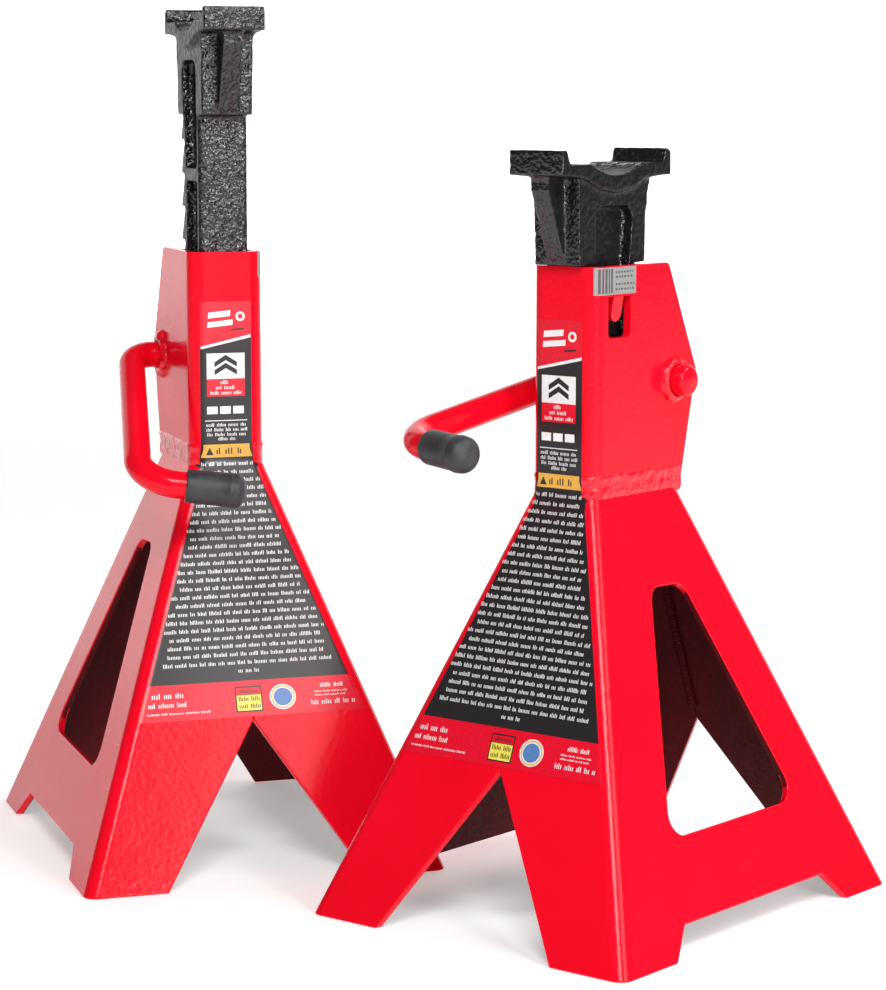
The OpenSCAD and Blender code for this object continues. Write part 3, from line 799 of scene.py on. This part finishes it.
def beads(side):
    """The beads inside the base's seams, beside the guide plates, and round the pawl."""
    for name, facing, dist, tower, seed in (("front", -1, BASE_FRONT, TOWER_FRONT, 11),
                                            ("rear", 1, BASE_REAR, TOWER_REAR, 12)):
        inset, lean = 3.9, (dist - tower) / BASE_H
        path = [Vector((0, facing * (dist - lean * z - inset), z)) for z in (78, 110, 150, 181)]
        # the seam beads inside the base take the dark red painted shade of the inside
        bead(side, name + "_seam_bead", path, 2.2, "stand", [name + "_seam_weld"], seed, "red_inside_painted_shade")
    replaced = ["guide_welds"]
    for s, letter in ((-1, "a"), (1, "b")):
        for z0, z1 in ((276, 287.5), (194, 212)):
            path = [Vector((s * 13.0, 16.9, z)) for z in (z0, z1)]
            bead(side, f"guide_bead_{letter}{z0}", path, 1.7, "stand", replaced, z0 + s)
            replaced = []
    ring = [PIVOT + Vector((11.4, 7.2 * math.cos(a), 7.2 * math.sin(a))) for a in circle(36)]
    bead(side, "pawl_bead", ring + ring[:1], 1.3, "handle", ["pawl_weld"], 5)


def boss(side, name, flip):
    """The welded boss round the handle's shaft: a lumpy ring with a bore. The left one has a blob above and
    below."""
    sides, bore_rings, blob_size, blob_spread = 72, 2, 1.5, 0.06
    profile = [(6.75, -1.0), (6.75, 2.0), (7.2, 2.7), (8.0, 3.0), (8.9, 2.7), (9.6, 1.9), (10.1, 0.9),
               (10.4, 0.0), (10.5, -0.9)]
    bm = bmesh.new()
    rings = []
    for k, (r, height) in enumerate(profile):
        ring = []
        for a in circle(sides):
            q = Vector((3.0 * math.cos(a), 3.0 * math.sin(a), k * 0.16 + 5.0 * flip))
            lump = noise.noise(q) * 0.75 + noise.noise(q * 2.3) * 0.35 if k >= bore_rings else 0.0
            blob = 0.0
            if k > 3 and flip < 0:
                blob = blob_size * math.exp(-((abs(math.sin(a)) - 1) / blob_spread) ** 2)
            across = flip * (TOWER_W / 2 + height + lump * 0.5)
            reach = r + lump * 0.8 + blob
            place = Vector((across, PIVOT.y + reach * math.cos(a), PIVOT.z + reach * math.sin(a)))
            ring.append(bm.verts.new(place * MM))
        rings.append(ring)
    skin_rings(bm, rings)
    bmesh.ops.recalc_face_normals(bm, faces=bm.faces)
    new_piece(name + "_ring", to_mesh(bm, name), side, "stand", ["painted_weld"], [name], None)


# ---------------------------------------------------------------- everything

for side in STANDS:
    for shell in ("base_left_shell", "base_right_shell"):
        # the inward faces of the shells and the tower take the dark red painted shade of the inside
        shade_inner_faces(rounded_cad(side, shell, "stand", "red_enamel", 0.7))
    shade_inner_faces(rounded_cad(side, "tower", "stand", "red_enamel", 0.6))
    handle_rod(side)
    handle_cap(side)
    casting(side)
    front_label(side)
    side_sticker(side)
    weld_band(side)
    beads(side)
    # the guide plates inside the tower take the dark red painted shade of the inside
    for plate in ("upper_guide", "lower_guide"):
        rounded_cad(side, plate, "stand", "red_inside_painted_shade", 0.4)
    boss(side, "right_boss", 1)
    boss(side, "left_boss", -1)
    collar(side)
    rounded_cad(side, "pawl", "handle", "pawl_steel", 0.5)


# ---------------------------------------------------------------- floor, light, camera

def glowing(name, roughness, glow):
    """A plain material that gives off a little white light, so that it shows pale."""
    mat, tree, skin, place = shader(name, Roughness=roughness)
    skin.inputs["Emission Color"].default_value = (1, 1, 1, 1)
    skin.inputs["Emission Strength"].default_value = glow
    return mat, tree, skin, place


bpy.ops.mesh.primitive_plane_add(size=8, location=(0, 0, -0.0002))
floor = bpy.context.object
floor.name = "floor"
floor_mat, floor_tree, floor_skin, floor_place = glowing("studio_floor", 0.8, 0.35)
mottle = noise_node(floor_tree, floor_place, 6.0, 3.0)
join(floor_tree, floor_skin, ramp(floor_tree, mottle, (0.3, grey(0.92)), (0.7, grey(0.94))))
floor.data.materials.append(floor_mat)

world = bpy.data.worlds.new("studio")
bpy.context.scene.world = world
world.use_nodes = True
world.node_tree.nodes["Background"].inputs["Color"].default_value = (1, 1, 1, 1)
world.node_tree.nodes["Background"].inputs["Strength"].default_value = 0.09

bpy.ops.mesh.primitive_plane_add(size=1, location=(0, 3.2, 1.2), rotation=(math.radians(90), 0, 0))
wall = bpy.context.object
wall.name = "backdrop"
wall.scale = (9, 4, 1)
wall_mat, _, wall_skin, _ = glowing("studio_backdrop", 0.9, 0.9)
wall_skin.inputs["Base Color"].default_value = (0.9, 0.9, 0.9, 1)
wall.data.materials.append(wall_mat)


def area_light(name, direction, distance, size, power):
    """A square light, in metres and watts, that points at the stands' middle."""
    lamp = bpy.data.lights.new(name, "AREA")
    lamp.energy = power
    lamp.size = size
    o = bpy.data.objects.new(name, lamp)
    bpy.context.scene.collection.objects.link(o)
    target = Vector((0, 0, 0.22))
    o.location = target + Vector(direction).normalized() * distance
    o.rotation_euler = (target - o.location).to_track_quat("-Z", "Y").to_euler()


area_light("key", (0.02, -0.78, 0.60), 2.2, 0.7, 28)
area_light("right_soft", (0.60, -0.66, 0.50), 2.3, 0.9, 13)
area_light("right_high", (0.8, -0.1, 0.8), 2.2, 0.7, 16)
area_light("sparkle", (0.50, -0.84, 0.18), 2.2, 0.34, 15)

# The camera's place is in millimetres, and it looks down by the tilt, in degrees
CAMERA_PLACE, CAMERA_TILT = (11.15, -1408.7, 367.7), 7.66
SENSOR_W, LENS = 36.0, 123.424

cam = bpy.data.cameras.new("camera")
cam.sensor_fit = "HORIZONTAL"
cam.sensor_width = SENSOR_W
cam.lens = LENS
cam.clip_end = 20
camera = bpy.data.objects.new("camera", cam)
bpy.context.scene.collection.objects.link(camera)
camera.location = Vector(CAMERA_PLACE) * MM
camera.rotation_euler = (math.radians(90 - CAMERA_TILT), 0, 0)
bpy.context.scene.camera = camera
bpy.context.scene.view_settings.view_transform = "Standard"
